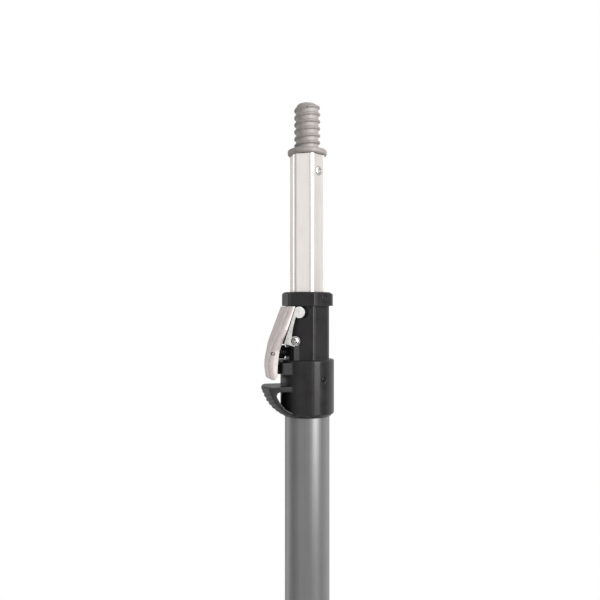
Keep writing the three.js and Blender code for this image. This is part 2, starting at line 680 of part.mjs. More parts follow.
// A cylinder whose wall rises and falls along a right-handed helix.
function screwThread() {
  const { crest, root, foot, pitch, start, top } = THREAD;
  const bottom = FLANGE.top - 1;
  const height = top - bottom;
  const rows = Math.round((6 * height) / pitch);
  const geometry = new THREE.CylinderGeometry(1, 1, height, 20, rows);
  geometry.rotateX(Math.PI / 2);
  geometry.translate(0, 0, bottom + height / 2);
  const position = geometry.attributes.position;
  const point = new THREE.Vector3();
  for (let i = 0; i < position.count; i += 1) {
    point.fromBufferAttribute(position, i);
    if (Math.hypot(point.x, point.y) < 0.5) continue;
    const turnFraction = Math.atan2(point.y, point.x) / (2 * Math.PI);
    const phase = (point.z - FLANGE.top) / pitch - turnFraction - start;
    const ridge = THREE.MathUtils.clamp(0.2 + 0.8 * Math.cos(2 * Math.PI * phase), 0, 1);
    const neck = THREE.MathUtils.smoothstep(point.z, FLANGE.top + 1, FLANGE.top + 3);
    const toTop = THREE.MathUtils.clamp(1 - (top - point.z) / 2.2, 0, 1);
    const radius = (root + (crest - root) * ridge * neck) * (1 - 0.12 * toTop * toTop);
    position.setXYZ(i, radius * point.x, radius * point.y, point.z);
  }
  const fillet = turnedOnAxis([
    [0, bottom], [foot, bottom], [foot, FLANGE.top], [root - 0.5, FLANGE.top + 1.2],
    [0, FLANGE.top + 1.2],
  ], 40);
  return join(solid(geometry), fillet);
}

function threadedTip() {
  const bottom = HEX_TUBE.top + GAP;
  const { radius, top } = FLANGE;
  const flange = turnedOnAxis([
    [0, bottom], [radius - 0.7, bottom], [radius, bottom + 0.7], [radius, top - 1],
    [radius - 1, top], [0, top],
  ], 40);
  return join(flange, tubePlug(LOCK_Z + 160, bottom + 1, TIP_RIVET_Z), screwThread());
}

add('hex_tube', hexTube(), 'aluminium');
add('tube_glide', tubeGlide(), 'blackNylon');
add('threaded_tip', threadedTip(), 'castAlloy');
onBothSides((side) => {
  const direction = radial(rivetSides[side]);
  const face = HEX_TUBE.flats / 2;
  add(`tip_rivet_${side}`, blindRivet(flatPoint(side, TIP_RIVET_Z, face), direction), 'aluminium');
  add(`glide_rivet_${side}`, blindRivet(flatPoint(side, GLIDE_RIVET_Z, face), direction), 'aluminium');
});

export default group;
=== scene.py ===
"""Looks of a telescopic window cleaning pole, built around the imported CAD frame.

The pole's axis is Z. The lever and the finger rest stand on the -X side.
"""

import json
import math

import bmesh
import bpy
from mathutils import Matrix, Vector


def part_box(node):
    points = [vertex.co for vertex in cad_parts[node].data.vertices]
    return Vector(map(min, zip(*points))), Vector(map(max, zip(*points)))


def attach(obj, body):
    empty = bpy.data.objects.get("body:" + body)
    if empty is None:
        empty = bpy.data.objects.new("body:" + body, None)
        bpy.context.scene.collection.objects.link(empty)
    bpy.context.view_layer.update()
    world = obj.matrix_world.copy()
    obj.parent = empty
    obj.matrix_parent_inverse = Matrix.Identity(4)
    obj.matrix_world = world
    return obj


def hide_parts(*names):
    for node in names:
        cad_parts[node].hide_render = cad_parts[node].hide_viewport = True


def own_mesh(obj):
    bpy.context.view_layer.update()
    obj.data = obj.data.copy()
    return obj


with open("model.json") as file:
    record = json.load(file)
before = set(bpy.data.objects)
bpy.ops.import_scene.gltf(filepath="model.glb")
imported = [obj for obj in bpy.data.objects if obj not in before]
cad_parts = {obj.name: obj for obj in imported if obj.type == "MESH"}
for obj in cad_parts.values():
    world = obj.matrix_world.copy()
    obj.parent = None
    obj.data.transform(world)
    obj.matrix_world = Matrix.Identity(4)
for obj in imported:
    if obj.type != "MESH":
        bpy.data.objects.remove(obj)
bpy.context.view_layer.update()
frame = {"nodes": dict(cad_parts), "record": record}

MM = 0.001
TINY = 1e-7
GAP = 0.3 * MM   # between pieces that touch
LOCK_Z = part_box("lock_housing")[0].z
UP = Vector((0, 0, 1))


# ---------------------------------------------------------------- node materials

class Shader:
    """A Principled material and short calls for the nodes that feed it."""

    def __init__(self, name, roughness, metallic=0.0, specular=0.5):
        self.material = bpy.data.materials.new(name)
        self.material.use_nodes = True
        self.nodes = self.material.node_tree.nodes
        self.links = self.material.node_tree.links
        self.bsdf = self.nodes["Principled BSDF"]
        self.bsdf.inputs["Roughness"].default_value = roughness
        self.bsdf.inputs["Metallic"].default_value = metallic
        self.bsdf.inputs["Specular IOR Level"].default_value = specular
        self.place = self.nodes.new("ShaderNodeTexCoord").outputs["Object"]

    def stretched(self, x, y, z):
        """The piece's own coordinates, scaled along each axis."""
        node = self.nodes.new("ShaderNodeMapping")
        node.inputs["Scale"].default_value = (x, y, z)
        self.links.new(self.place, node.inputs["Vector"])
        return node.outputs["Vector"]

    def noise(self, size, detail=3.0, roughness=0.55, vector=None):
        """Noise whose blobs are about size metres across, or 1 unit of a given vector."""
        node = self.nodes.new("ShaderNodeTexNoise")
        node.inputs["Scale"].default_value = 1 / size
        node.inputs["Detail"].default_value = detail
        node.inputs["Roughness"].default_value = roughness
        self.links.new(vector or self.place, node.inputs["Vector"])
        return node.outputs["Fac"]

    def ramp(self, value, low, high, to_low, to_high):
        node = self.nodes.new("ShaderNodeMapRange")
        node.inputs["From Min"].default_value = low
        node.inputs["From Max"].default_value = high
        node.inputs["To Min"].default_value = to_low
        node.inputs["To Max"].default_value = to_high
        self.links.new(value, node.inputs["Value"])
        return node.outputs["Result"]

    def blend(self, factor, first, second):
        """A colour between two, each a colour or another node's colour."""
        node = self.nodes.new("ShaderNodeMix")
        node.data_type = "RGBA"
        self.links.new(factor, node.inputs["Factor"])
        for socket, value in ((node.inputs[6], first), (node.inputs[7], second)):
            if isinstance(value, tuple):
                socket.default_value = (*value, 1)
            else:
                self.links.new(value, socket)
        return node.outputs[2]

    def edge_wear_and_painted_shade(self, start):
        """1 on convex edges, 0 on flat faces. A larger start keeps the mark to sharper edges: edge wear
        on most pieces, painted shade on the tip's crests.
        """
        node = self.nodes.new("ShaderNodeNewGeometry")
        flat, width = 0.5, 0.06
        return self.ramp(node.outputs["Pointiness"], flat + start, flat + width + start, 0, 1)

    def colour(self, value):
        self.links.new(value, self.bsdf.inputs["Base Color"])

    def roughness(self, value):
        self.links.new(value, self.bsdf.inputs["Roughness"])

    def bump(self, layers):
        """Bumps laid on each other: (height value, height of the bump in metres) pairs."""
        normal = None
        for height, distance in layers:
            node = self.nodes.new("ShaderNodeBump")
            node.inputs["Distance"].default_value = distance
            self.links.new(height, node.inputs["Height"])
            if normal is not None:
                self.links.new(normal, node.inputs["Normal"])
            normal = node.outputs["Normal"]
        self.links.new(normal, self.bsdf.inputs["Normal"])


def black_nylon():
    """Satin moulded nylon: a fine spark-eroded grain, with paler scuffs on its edges."""
    shader = Shader("black_nylon", roughness=0.3, specular=0.25)
    grain = shader.noise(0.22 * MM, detail=2)
    cloud = shader.noise(9 * MM)
    patches = shader.ramp(cloud, 0.35, 0.65, 0, 1)
    base = shader.blend(patches, (0.0145, 0.0132, 0.0143), (0.02, 0.0184, 0.0198))
    scuffed = shader.blend(shader.edge_wear_and_painted_shade(0.02), base, (0.045, 0.045, 0.048))
    shader.colour(scuffed)
    shader.roughness(shader.ramp(cloud, 0.3, 0.7, 0.27, 0.36))
    shader.bump([(grain, 0.008 * MM), (shader.noise(3 * MM), 0.015 * MM)])
    return shader.material


def grey_anodised():
    """Drawn and grey anodised tube: long fine die lines and a faint mottling."""
    shader = Shader("grey_anodised", roughness=0.4, metallic=0.7, specular=0.35)
    lines = shader.noise(1, detail=4, vector=shader.stretched(1400, 1400, 9))
    cloud = shader.noise(30 * MM)
    base = shader.blend(shader.ramp(cloud, 0.35, 0.65, 0, 1), (0.2, 0.198, 0.2), (0.222, 0.22, 0.222))
    streaked = shader.blend(shader.ramp(lines, 0.4, 0.75, 0, 1), base, (0.245, 0.245, 0.247))
    shader.colour(streaked)
    shader.roughness(shader.ramp(lines, 0.3, 0.7, 0.38, 0.46))
    shader.bump([(lines, 0.004 * MM), (shader.noise(0.25 * MM, detail=1), 0.004 * MM)])
    return shader.material


def bright_aluminium():
    """Mill-finish drawn aluminium: fine lines along the tube and a few handling marks."""
    shader = Shader("bright_aluminium", roughness=0.3, metallic=0.93)
    lines = shader.noise(1, detail=5, vector=shader.stretched(1800, 1800, 14))
    rubs = shader.noise(1, detail=2, vector=shader.stretched(260, 260, 60))
    base = shader.blend(shader.ramp(rubs, 0.45, 0.7, 0, 1), (0.97, 0.915, 0.88), (0.92, 0.865, 0.83))
    shader.colour(shader.blend(shader.ramp(lines, 0.5, 0.75, 0, 1), base, (0.93, 0.90, 0.875)))
    shader.roughness(shader.ramp(lines, 0.3, 0.7, 0.3, 0.4))
    shader.bump([(lines, 0.003 * MM), (shader.noise(6 * MM), 0.006 * MM)])
    return shader.material


def tip_casting():
    """Matt warm grey casting with a sandy grain; painted shade darkens its convex edges and thread
    crests.
    """
    shader = Shader("tip_casting", roughness=0.6, metallic=0.25, specular=0.4)
    grain = shader.noise(0.5 * MM, detail=4, roughness=0.65)
    cloud = shader.noise(4 * MM)
    base = shader.blend(shader.ramp(cloud, 0.3, 0.7, 0, 1), (0.27, 0.245, 0.235), (0.36, 0.33, 0.315))
    sandy = shader.blend(shader.ramp(grain, 0.45, 0.7, 0, 1), base, (0.44, 0.405, 0.385))
    # painted shade: convex edges and thread crests are darkened to stand in for the shade on the ridges
    shader.colour(shader.blend(shader.edge_wear_and_painted_shade(0.0), sandy, (0.17, 0.155, 0.148)))
    shader.roughness(shader.ramp(grain, 0.3, 0.7, 0.52, 0.7))
    shader.bump([(grain, 0.06 * MM), (shader.noise(1.6 * MM), 0.05 * MM)])
    return shader.material


def handle_casting():
    """Bead-blasted pale casting: fine sparkle grain, slightly pink-grey, polished on its edges."""
    shader = Shader("handle_casting", roughness=0.46, metallic=0.55)
    grain = shader.noise(0.35 * MM, detail=3, roughness=0.7)
    cloud = shader.noise(5 * MM)
    base = shader.blend(shader.ramp(cloud, 0.3, 0.7, 0, 1), (0.55, 0.49, 0.475), (0.64, 0.575, 0.56))
    edges = shader.blend(shader.edge_wear_and_painted_shade(0.015), base, (0.80, 0.78, 0.77))
    shader.colour(edges)
    shader.roughness(shader.ramp(grain, 0.3, 0.7, 0.4, 0.56))
    shader.bump([(grain, 0.02 * MM), (shader.noise(1.8 * MM), 0.025 * MM)])
    return shader.material


def plated_steel():
    """Bright zinc plate: soft orange peel and fine scratches."""
    shader = Shader("plated_steel", roughness=0.28, metallic=1.0)
    cloud = shader.noise(2.5 * MM)
    scratches = shader.noise(1, detail=4, vector=shader.stretched(500, 90, 1500))
    base = shader.blend(shader.ramp(cloud, 0.3, 0.7, 0, 1), (0.40, 0.395, 0.39), (0.50, 0.495, 0.485))
    shader.colour(shader.blend(shader.ramp(scratches, 0.62, 0.75, 0, 1), base, (0.33, 0.33, 0.33)))
    shader.roughness(shader.ramp(scratches, 0.3, 0.7, 0.2, 0.3))
    shader.bump([(cloud, 0.01 * MM)])
    return shader.material


def pressed_steel():
    """The yoke's dull zinc plate, clouded and wiped along the sheet."""
    shader = Shader("pressed_steel", roughness=0.4, metallic=1.0)
    cloud = shader.noise(2 * MM)
    wipes = shader.noise(1, detail=4, vector=shader.stretched(900, 900, 160))
    base = shader.blend(shader.ramp(cloud, 0.3, 0.7, 0, 1), (0.2, 0.197, 0.194), (0.27, 0.266, 0.262))
    shader.colour(shader.blend(shader.ramp(wipes, 0.5, 0.7, 0, 1), base, (0.33, 0.326, 0.322)))
    shader.roughness(shader.ramp(wipes, 0.3, 0.7, 0.36, 0.46))
    shader.bump([(wipes, 0.002 * MM), (cloud, 0.008 * MM)])
    return shader.material


def rivet_aluminium():
    """Satin pressed aluminium for rivets, faintly clouded."""
    shader = Shader("rivet_aluminium", roughness=0.36, metallic=0.9)
    cloud = shader.noise(1.2 * MM)
    base = shader.blend(shader.ramp(cloud, 0.3, 0.7, 0, 1), (0.46, 0.445, 0.437), (0.58, 0.565, 0.557))
    shader.colour(base)
    shader.roughness(shader.ramp(cloud, 0.3, 0.7, 0.3, 0.42))
    shader.bump([(shader.noise(0.4 * MM), 0.006 * MM)])
    return shader.material


def black_steel():
    """Black phosphated steel: dark, slightly oily, rubbed to bare metal in places."""
    shader = Shader("black_steel", roughness=0.4, metallic=0.6)
    rubs = shader.noise(0.8 * MM, detail=4)
    bare = shader.ramp(rubs, 0.6, 0.75, 0, 1)
    shader.colour(shader.blend(bare, (0.012, 0.012, 0.013), (0.09, 0.09, 0.09)))
    shader.roughness(shader.ramp(rubs, 0.3, 0.7, 0.3, 0.5))
    shader.bump([(rubs, 0.01 * MM)])
    return shader.material


def pad_rubber():
    """Matt black rubber with a dusty bloom."""
    shader = Shader("pad_rubber", roughness=0.85, specular=0.25)
    bloom = shader.noise(1.5 * MM, detail=4)
    dusty = shader.ramp(bloom, 0.4, 0.7, 0, 1)
    shader.colour(shader.blend(dusty, (0.014, 0.014, 0.014), (0.035, 0.034, 0.033)))
    shader.roughness(shader.ramp(bloom, 0.3, 0.7, 0.8, 0.95))
    shader.bump([(shader.noise(0.2 * MM), 0.02 * MM)])
    return shader.material


MATERIALS = {
    "black_nylon": black_nylon(),
    "grey_anodised_tube": grey_anodised(),
    "bright_aluminium": bright_aluminium(),
    "tip_alloy": tip_casting(),
    "shoe_alloy": tip_casting(),
    "cast_handle": handle_casting(),
    "plated_steel": plated_steel(),
    "black_screw": black_steel(),
    "spring_steel": black_steel(),
    "rivet_aluminium": rivet_aluminium(),
    "pressed_steel": pressed_steel(),
    "rubber_pad": pad_rubber(),
}
BODY_OF = {
    node: body
    for body, nodes in frame["record"]["behaviour"]["bodies"].items()
    for node in nodes
}
MOUNTS = {mount["name"]: mount for mount in frame["record"]["mounts"]}
SLOT_OF = {part["node"]: part["material_slot"] for part in frame["record"]["subparts"]}


# ---------------------------------------------------------------- mesh helpers

def finish_of(node):
    """The material of a CAD node. Rivets and the yoke are duller than the rest of their slot."""
    if node.startswith(("tip_rivet", "glide_rivet")):
        return MATERIALS["rivet_aluminium"]
    if node == "lever_yoke":
        return MATERIALS["pressed_steel"]
    return MATERIALS[SLOT_OF[node]]


def piece(name, mesh, node):
    """A new piece that stands for one CAD node: its body, slot and material are the node's."""
    for polygon in mesh.polygons:
        polygon.use_smooth = True
    obj = bpy.data.objects.new(name, mesh)
    bpy.context.scene.collection.objects.link(obj)
    mesh.materials.clear()
    mesh.materials.append(finish_of(node))
    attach(obj, BODY_OF[node])
    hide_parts(node)
    return obj


def mesh_from(name, build):
    """A mesh from build(bm), closed, with its faces turned outwards."""
    bm = bmesh.new()
    build(bm)
    bmesh.ops.remove_doubles(bm, verts=bm.verts, dist=TINY)
    bmesh.ops.recalc_face_normals(bm, faces=bm.faces)
    mesh = bpy.data.meshes.new(name)
    bm.to_mesh(mesh)
    bm.free()
    return mesh


def applied(obj_mesh, name, modifiers):
    """A copy of a mesh with modifiers, given as (type, settings) pairs, applied to it."""
    holder = bpy.data.objects.new(name, obj_mesh)
    bpy.context.scene.collection.objects.link(holder)
    for kind, settings in modifiers:
        modifier = holder.modifiers.new(kind.lower(), kind)
        for key, value in settings.items():
            setattr(modifier, key, value)
    graph = bpy.context.evaluated_depsgraph_get()
    mesh = bpy.data.meshes.new_from_object(holder.evaluated_get(graph))
    bpy.data.objects.remove(holder)
    return mesh


def filleted(points, radii, steps=5):
    """A closed outline with its corners rounded. radii is one number, or one for each corner."""
    count = len(points)
    outline = []
    for i, point in enumerate(points):
        corner = Vector(point)
        radius = radii if isinstance(radii, (int, float)) else radii[i]
        before = Vector(points[i - 1]) - corner
        after = Vector(points[(i + 1) % count]) - corner
        half = before.angle(after) / 2
        reach = min(radius / math.tan(half), before.length * 0.48, after.length * 0.48)
        if radius <= 0 or reach < TINY:
            outline.append(corner)
            continue
        start = corner + before.normalized() * reach
        end = corner + after.normalized() * reach
        for step in range(steps + 1):
            s = step / steps
            outline.append(start.lerp(corner, s).lerp(corner.lerp(end, s), s))
    return outline


def revolve(name, profile, segments=64, origin=Vector(), direction=UP):
    """A turned mesh. The profile is a line of (radius, height) from the axis back to the axis."""
    turn = UP.rotation_difference(direction.normalized()).to_matrix()

    def build(bm):
        rings = []
        for radius, height in profile:
            if radius < TINY:
                rings.append([bm.verts.new(turn @ Vector((0, 0, height)) + origin)])
                continue
            ring = []
            for i in range(segments):
                angle = 2 * math.pi * i / segments
                point = Vector((radius * math.cos(angle), radius * math.sin(angle), height))
                ring.append(bm.verts.new(turn @ point + origin))
            rings.append(ring)
        for low, high in zip(rings, rings[1:]):
            for i in range(segments):
                corners = [
                    low[i % len(low)], low[(i + 1) % len(low)],
                    high[(i + 1) % len(high)], high[i % len(high)],
                ]
                unique = list(dict.fromkeys(corners))
                if len(unique) > 2:
                    bm.faces.new(unique)

    return mesh_from(name, build)


def ring_profile(points, radius, steps=4):
    """A closed (radius, height) outline with rounded corners, for a ring that has a bore."""
    outline = [tuple(p) for p in filleted(points, radius, steps)]
    return outline + outline[:1]


def extruded(name, outline, bottom, top, hole=None, edge=0.0):
    """A prism along Z with an optional hole and small chamfers on its end edges."""
    def build(bm):
        def ring(points, z, inset):
            loop = []
            for point in points:
                loop.append(bm.verts.new((*(point * (1 - inset / point.length)), z)))
            return loop

        def wall(points, grow):
            levels = [(bottom, edge), (bottom + edge, 0), (top - edge, 0), (top, edge)]
            rings = [ring(points, z, grow * inset) for z, inset in levels]
            for low, high in zip(rings, rings[1:]):
                for i in range(len(low)):
                    j = (i + 1) % len(low)
                    bm.faces.new((low[i], low[j], high[j], high[i]))
            return rings[0], rings[-1]

        ends = wall(outline, 1)
        if hole is None:
            for loop in ends:
                bm.faces.new(loop)
            return
        for outer, inner in zip(ends, wall(hole, -1)):
            for i in range(len(outer)):
                j = (i + 1) % len(outer)
                bm.faces.new((outer[i], outer[j], inner[j], inner[i]))

    return mesh_from(name, build)


def hexagon(flats, corner, steps=10):
    """A hexagon's outline with rounded corners. Its flats face 0, 60, 120 ... degrees."""
    reach = (flats / 2 - corner) / math.cos(math.pi / 6)
    outline = []
    for k in range(6):
        middle = math.pi / 6 + k * math.pi / 3
        for step in range(steps + 1):
            angle = middle + math.pi / 3 * (step / steps - 0.5)
            x = reach * math.cos(middle) + corner * math.cos(angle)
            y = reach * math.sin(middle) + corner * math.sin(angle)
            outline.append(Vector((x, y)))
    return outline


def softened(name, node, voxel, rounds):
    """A node's own shape, remeshed finely and with its sharp edges rounded off."""
    steps = [
        ("REMESH", {"mode": "VOXEL", "voxel_size": voxel, "adaptivity": 0.0}),
        ("SMOOTH", {"factor": 0.5, "iterations": rounds}),
    ]
    return applied(frame["nodes"][node].data.copy(), name, steps)


def bevelled(name, node, width):
    """A node's own shape with its sharp edges rounded."""
    settings = {"width": width, "segments": 3, "angle_limit": math.radians(35), "harden_normals": True}
    steps = [("BEVEL", settings)]
    return applied(frame["nodes"][node].data.copy(), name, steps)


def angle_direction(degrees):
    return Vector((math.cos(math.radians(degrees)), math.sin(math.radians(degrees)), 0))


# ---------------------------------------------------------------- tubes and end cap

WALL = 1.5 * MM


def make_outer_tube():
    low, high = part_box("outer_tube")
    radius = high.x
    bore = radius - WALL
    profile = ring_profile(
        [(bore, low.z), (radius, low.z), (radius, high.z), (bore, high.z)], 0.25 * MM,
    )
    piece("grey_outer_tube", revolve("grey_outer_tube", profile, 160), "outer_tube")


def make_end_cap():
    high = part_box("end_cap")[1]
    radius, top = high.x, high.z
    lip, bore, plug = 4 * MM, 11.5 * MM, 14.2 * MM
    outline = [
        (0, 0), (radius - lip, 0), (radius, 0), (radius, lip), (plug, lip), (plug, top),
        (bore, top), (bore, lip), (0, lip),
    ]
    radii = [0, 0, 1.2 * MM, 0.8 * MM, 0.2 * MM, 0.5 * MM, 0.4 * MM, 0.8 * MM, 0]
    profile = [tuple(p) for p in filleted(outline, radii)]
    piece("moulded_end_cap", revolve("moulded_end_cap", profile, 96), "end_cap")


def make_hex_tube():
    low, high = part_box("hex_tube")
    flats = high.x - low.x
    corner = 4.4 * MM
    mesh = extruded(
        "bright_hex_tube", hexagon(flats, corner), low.z, high.z,
        hole=hexagon(flats - 2 * WALL, corner - WALL), edge=0.2 * MM,
    )
    obj = piece("bright_hex_tube", mesh, "hex_tube")
    flat_shaded(obj, 25)


def flat_shaded(obj, degrees):
    """Keeps edges sharper than an angle crisp, and shades the rest smoothly."""
    obj.data.set_sharp_from_angle(angle=math.radians(degrees))


# ---------------------------------------------------------------- screw tip

PITCH = 5.08 * MM
ROOT, CREST = 8.05 * MM, 9.42 * MM
FIRST_TURN = 0.10   # where the ridge starts round the tip, in turns
RIDGE = {"half_width": 0.25, "roundness": 0.62}   # the width is in turns
RUN_IN = {"below": 0.9 * MM, "length": 2.0 * MM}
NOSE = {"length": 3.4 * MM, "taper": 0.32, "curve": 2.6, "fade": 0.3}
FILLET = {"width": 0.7 * MM, "height": 0.8 * MM}


def thread_radius(angle, z, bottom, top):
    """The tip's radius at an angle and height: half-round ridges on a right-handed helix."""
    phase = ((z - bottom) / PITCH - angle / (2 * math.pi) - FIRST_TURN) % 1.0
    away = min(phase, 1 - phase) / RIDGE["half_width"]
    ridge = (1 - away * away) ** RIDGE["roundness"] if away < 1 else 0.0
    start = min(max((z - bottom - RUN_IN["below"]) / RUN_IN["length"], 0.0), 1.0)
    nose = max(0.0, 1 - (top - z) / NOSE["length"])
    body = ROOT * (1 - NOSE["taper"] * nose ** NOSE["curve"])
    fade = (1 - nose) ** NOSE["fade"]
    fillet = FILLET["width"] * max(0.0, 1 - (z - bottom) / FILLET["height"]) ** 2
    return body + (CREST - ROOT) * ridge * start * fade + fillet


def make_threaded_tip():
    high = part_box("threaded_tip")[1]
    radius = high.x
    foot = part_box("hex_tube")[1].z + GAP
    seat = MOUNTS["tool_seat"]["pos_m"][2]
    core, eye = 2.0 * MM, 2.4 * MM   # radii of the flat middles at the foot and the top
    rim, neck = 1.15 * MM, 0.3 * MM
    columns, rows = 120, 170

    def build(bm):
        rings = []
        outline = [(core, foot), (radius - 1.2 * MM, foot)]
        outline += rounded_edge(radius, foot, seat, rim)
        outline += [(radius - 3 * MM, seat + 0.1 * MM), (ROOT + 1.55 * MM, seat + 0.25 * MM)]
        for r, z in outline:
            rings.append([(r, z)] * columns)
        start = seat + neck
        for row in range(rows + 1):
            z = start + (high.z - start) * row / rows
            ring = []
            for i in range(columns):
                angle = 2 * math.pi * i / columns
                ring.append((thread_radius(angle, z, start, high.z), z))
            rings.append(ring)
        rings.append([(eye, high.z)] * columns)
        loops = []
        for ring in rings:
            loop = []
            for i, (r, z) in enumerate(ring):
                angle = 2 * math.pi * i / columns
                loop.append(bm.verts.new((r * math.cos(angle), r * math.sin(angle), z)))
            loops.append(loop)
        for a, b in zip(loops, loops[1:]):
            for i in range(columns):
                j = (i + 1) % columns
                bm.faces.new((a[i], a[j], b[j], b[i]))
        bm.faces.new(loops[0])
        bm.faces.new(loops[-1])

    piece("screw_tip", mesh_from("screw_tip", build), "threaded_tip")


def rounded_edge(radius, bottom, top, fillet, steps=6):
    """The (radius, height) points round the rim of a disc, from its bottom to its top."""
    points = []
    for centre, first in ((bottom + fillet, -90), (top - fillet, 0)):
        for step in range(steps + 1):
            angle = math.radians(first + 90 * step / steps)
            points.append((radius - fillet + fillet * math.cos(angle), centre + fillet * math.sin(angle)))
    return points


# ---------------------------------------------------------------- fasteners

# Half of a blind rivet's section, from its shank to the bottom of the mandrel's hole, in mm.
RIVET_SHANK = [(0, -5.0), (1.6, -5.0), (1.6, 0.0), (3.3, 0.0)]
RIVET_DOME = [(3.42, 0.1), (3.4, 0.3), (3.15, 0.62), (2.6, 0.92), (2.0, 1.08), (1.45, 1.16)]
RIVET_HOLE = [(1.25, 1.12), (1.12, 0.95), (1.08, 0.3), (1.05, -1.4), (0.4, -1.6), (0, -1.6)]


def make_blind_rivet(node, degrees, z, name):
    """A domed blind rivet whose mandrel hole shows in its centre."""
    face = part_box("hex_tube")[1].x
    direction = angle_direction(degrees)
    profile = [(r * MM, h * MM) for r, h in RIVET_SHANK + RIVET_DOME + RIVET_HOLE]
    clear = 0.02 * MM
    origin = direction * (face + clear)
    origin.z = z
    piece(name, revolve(name, profile, 48, origin, direction), node)


RECESS_ANGLES = (20, 110)


def make_screw(node, origin, direction, head, name):
    """A domed screw head with a cross recess, on a shank."""
    radius, height, shank, length = head
    profile = [
        (0, -length), (shank, -length), (shank, 0), (radius * 0.94, 0), (radius, 0.12 * height),
        (radius, 0.35 * height), (radius * 0.95, 0.55 * height), (radius * 0.82, 0.77 * height),
        (radius * 0.6, 0.92 * height), (radius * 0.3, 0.99 * height), (0, height),
    ]
    mesh = revolve(name, profile, 56)
    cutters = [slot_cutter(radius, height, angle) for angle in RECESS_ANGLES]
    steps = [("BOOLEAN", {"operation": "DIFFERENCE", "object": c, "solver": "EXACT"}) for c in cutters]
    mesh = applied(mesh, name, steps)
    for cutter in cutters:
        bpy.data.objects.remove(cutter)
    turn = UP.rotation_difference(direction).to_matrix().to_4x4()
    mesh.transform(Matrix.Translation(origin) @ turn)
    obj = piece(name, mesh, node)
    flat_shaded(obj, 40)


def slot_cutter(radius, height, degrees):
    """A thin tapered blade that cuts one arm of a screw's recess."""
    long, wide = 0.62 * radius, 0.13 * radius
    deep, over = 0.25 * height, 1.2 * height

    def build(bm):
        low = [bm.verts.new((x, y, deep)) for x, y in corners(0.45 * long, 0.6 * wide)]
        high = [bm.verts.new((x, y, over)) for x, y in corners(long, wide)]
        bm.faces.new(low)
        bm.faces.new(high)
        for i in range(4):
            j = (i + 1) % 4
            bm.faces.new((low[i], low[j], high[j], high[i]))

    obj = bpy.data.objects.new("cutter", mesh_from("cutter", build))
    obj.data.transform(Matrix.Rotation(math.radians(degrees), 4, "Z"))
    bpy.context.scene.collection.objects.link(obj)
    return obj


def corners(x, y):
    return ((-x, -y), (x, -y), (x, y), (-x, y))


TIP_RIVET_DEGREES = -60
PIVOT_HEAD = (2.8 * MM, 1.6 * MM, 1.9 * MM, 1.7 * MM)   # radius, height, shank radius, length
SLEEVE_HEAD = (1.75 * MM, 0.75 * MM, 1.1 * MM, 3.3 * MM)
PIVOT_FACE = 15.25 * MM    # from the pole's axis to the foot of a pivot screw's head
SLEEVE_FACE = 18.25 * MM   # and to the foot of a sleeve screw's head, in its recess


def make_fasteners():
    tip_z = sum(c.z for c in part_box("tip_rivet_near")) / 2
    make_blind_rivet("tip_rivet_near", TIP_RIVET_DEGREES, tip_z, "tip_rivet_front")
    make_blind_rivet("tip_rivet_far", TIP_RIVET_DEGREES + 180, tip_z, "tip_rivet_back")

    for side, node in ((-1, "pivot_screw_near"), (1, "pivot_screw_far")):
        low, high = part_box(node)
        origin = Vector(((low.x + high.x) / 2, side * PIVOT_FACE, (low.z + high.z) / 2))
        make_screw(node, origin, Vector((0, side, 0)), PIVOT_HEAD, f"{node}_head")

    for node in ("sleeve_screw_near", "sleeve_screw_far"):
        low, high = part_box(node)
        middle = (low + high) / 2
        direction = Vector((middle.x, middle.y, 0)).normalized()
        origin = direction * SLEEVE_FACE
        origin.z = middle.z
        make_screw(node, origin, direction, SLEEVE_HEAD, f"{node}_head")


# ---------------------------------------------------------------- lock and lever

# Moulded and cast pieces: name, node, voxel size of the remesh and rounds of smoothing.
LOCK_MOULDINGS = [
    ("moulded_lock_housing", "lock_housing", 0.3 * MM, 2),
    ("moulded_lock_collar", "lock_collar", 0.26 * MM, 2),
    ("moulded_collar_plug", "collar_plug", 0.12 * MM, 2),
    ("moulded_guide_bush", "guide_bush", 0.24 * MM, 1),
]


def make_lock():
    for name, node, voxel, rounds in LOCK_MOULDINGS:
        piece(name, softened(name, node, voxel, rounds), node)


def make_lever():
    handle = softened("cast_lever_handle", "lever_handle", 0.2 * MM, 10)
    piece("cast_lever_handle", handle, "lever_handle")
    yoke = bevelled("pressed_lever_yoke", "lever_yoke", 0.22 * MM)
    piece("pressed_lever_yoke", yoke, "lever_yoke")
    seat = softened("moulded_spring_seat", "spring_seat", 0.2 * MM, 2)
    piece("moulded_spring_seat", seat, "spring_seat")


def make_spring():
    """A coil spring along X, behind the lever."""
    low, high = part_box("return_spring")
    centre_z = (low.z + high.z) / 2
    wire = 0.66 * MM
    coil = (high.z - low.z) / 2 - wire
    turns, per_turn, sides = 4.6, 40, 12
    nudge = 1e-4
    steps = int(turns * per_turn)
    start, end = high.x - wire, low.x + wire

    def centre(s):
        angle = 2 * math.pi * turns * s
        x = start + (end - start) * s
        return Vector((x, coil * math.cos(angle), centre_z + coil * math.sin(angle)))

    def build(bm):
        loops = []
        for step in range(steps + 1):
            s = step / steps
            here = centre(s)
            ahead = (centre(s + nudge) - centre(s - nudge)).normalized()
            outward = (here - Vector((here.x, 0, centre_z))).normalized()
            side = ahead.cross(outward)
            loop = []
            for k in range(sides):
                angle = 2 * math.pi * k / sides
                offset = math.cos(angle) * outward + math.sin(angle) * side
                loop.append(bm.verts.new(here + wire * offset))
            loops.append(loop)
        for a, b in zip(loops, loops[1:]):
            for k in range(sides):
                j = (k + 1) % sides
                bm.faces.new((a[k], a[j], b[j], b[k]))
        bm.faces.new(loops[0])
        bm.faces.new(loops[-1])

    spring = piece("coil_spring", mesh_from("coil_spring", build), "return_spring")
    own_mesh(spring)


